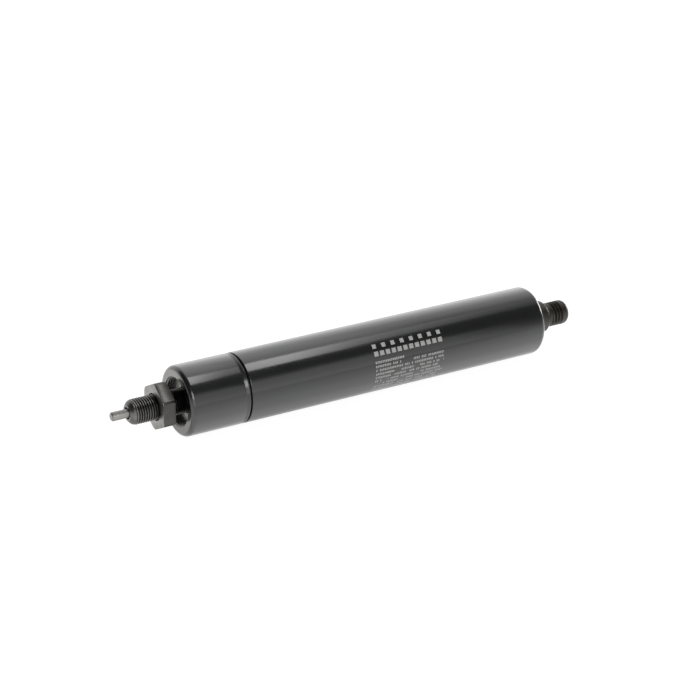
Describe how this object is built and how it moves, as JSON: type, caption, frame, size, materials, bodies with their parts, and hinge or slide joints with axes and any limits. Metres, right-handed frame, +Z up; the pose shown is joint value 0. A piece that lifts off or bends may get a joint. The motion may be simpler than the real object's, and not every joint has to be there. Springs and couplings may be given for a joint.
{
  "type": "locking gas spring",
  "caption": "Black locking gas spring: tube with threaded rear stud, screwed front collar, hollow threaded rod with jam nut and release pin, valve piston and separator inside.",
  "frame": {"origin": "on the spring's axis, where the rear stud's plain shank leaves its cone", "axes": "+X along the axis out of the rear stud, -X out of the rod, +Z up; the body is round, so Y and Z are equal"},
  "size_m": [0.2073, 0.028, 0.028],
  "materials": {
    "black_paint": "gloss black paint on drawn steel tube",
    "black_steel": "turned steel, black finished, satin",
    "nitrided_rod": "ground and salt-bath nitrided, dark grey",
    "pin_steel": "ground hardened pin, satin",
    "bright_steel": "bright turned or stamped steel",
    "sintered_steel": "pressed sintered steel, oil filled",
    "bronze": "turned bronze",
    "turned_aluminium": "turned aluminium",
    "nitrile": "moulded nitrile rubber, black",
    "polyurethane": "moulded polyurethane, black",
    "guide_plastic": "filled bearing plastic, dark"
  },
  "bodies": {
    "cylinder": {"pressure_tube": "black_paint", "front_collar": "black_paint", "guide_bush": "sintered_steel", "guide_o_ring": "nitrile", "wiper_ring": "polyurethane", "seal_washer": "bright_steel", "rod_seal": "polyurethane", "seal_retainer": "guide_plastic", "snap_ring": "bright_steel", "end_plug": "black_steel", "end_plug_o_ring": "nitrile", "rear_stud": "black_steel"},
    "piston_ring": {"piston_ring": "guide_plastic"},
    "rod": {"piston_rod": "nitrided_rod", "jam_nut": "black_steel", "rebound_washer": "bright_steel", "piston_body": "turned_aluminium", "piston_o_ring": "nitrile", "stem_seal": "nitrile", "stem_guide": "bronze", "valve_seat": "polyurethane", "valve_retainer": "bronze"},
    "release": {"release_pin": "pin_steel", "push_rod": "bright_steel", "valve_stem": "bright_steel"},
    "separator": {"separator_piston": "turned_aluminium", "separator_o_rings": "nitrile"}
  },
  "joints": [
    {"name": "rod_slide", "type": "slide", "parent": "cylinder", "child": "piston_ring", "axis": [-1, 0, 0], "range_m": [0, 0.05]},
    {"name": "rod_spin", "type": "hinge", "parent": "piston_ring", "child": "rod", "pos_m": [-0.17, 0, 0], "axis": [1, 0, 0], "continuous": true},
    {"name": "release_press", "type": "slide", "parent": "rod", "child": "release", "axis": [1, 0, 0], "range_m": [0, 0.0025], "stiffness_N_per_m": 2000, "springref_m": -0.001},
    {"name": "separator_slide", "type": "slide", "parent": "cylinder", "child": "separator", "axis": [-1, 0, 0], "range_m": [0, 0.01043]}
  ],
  "couplings": [
    {"joint": "separator_slide", "follows": "rod_slide", "ratio": 0.20661}
  ]
}
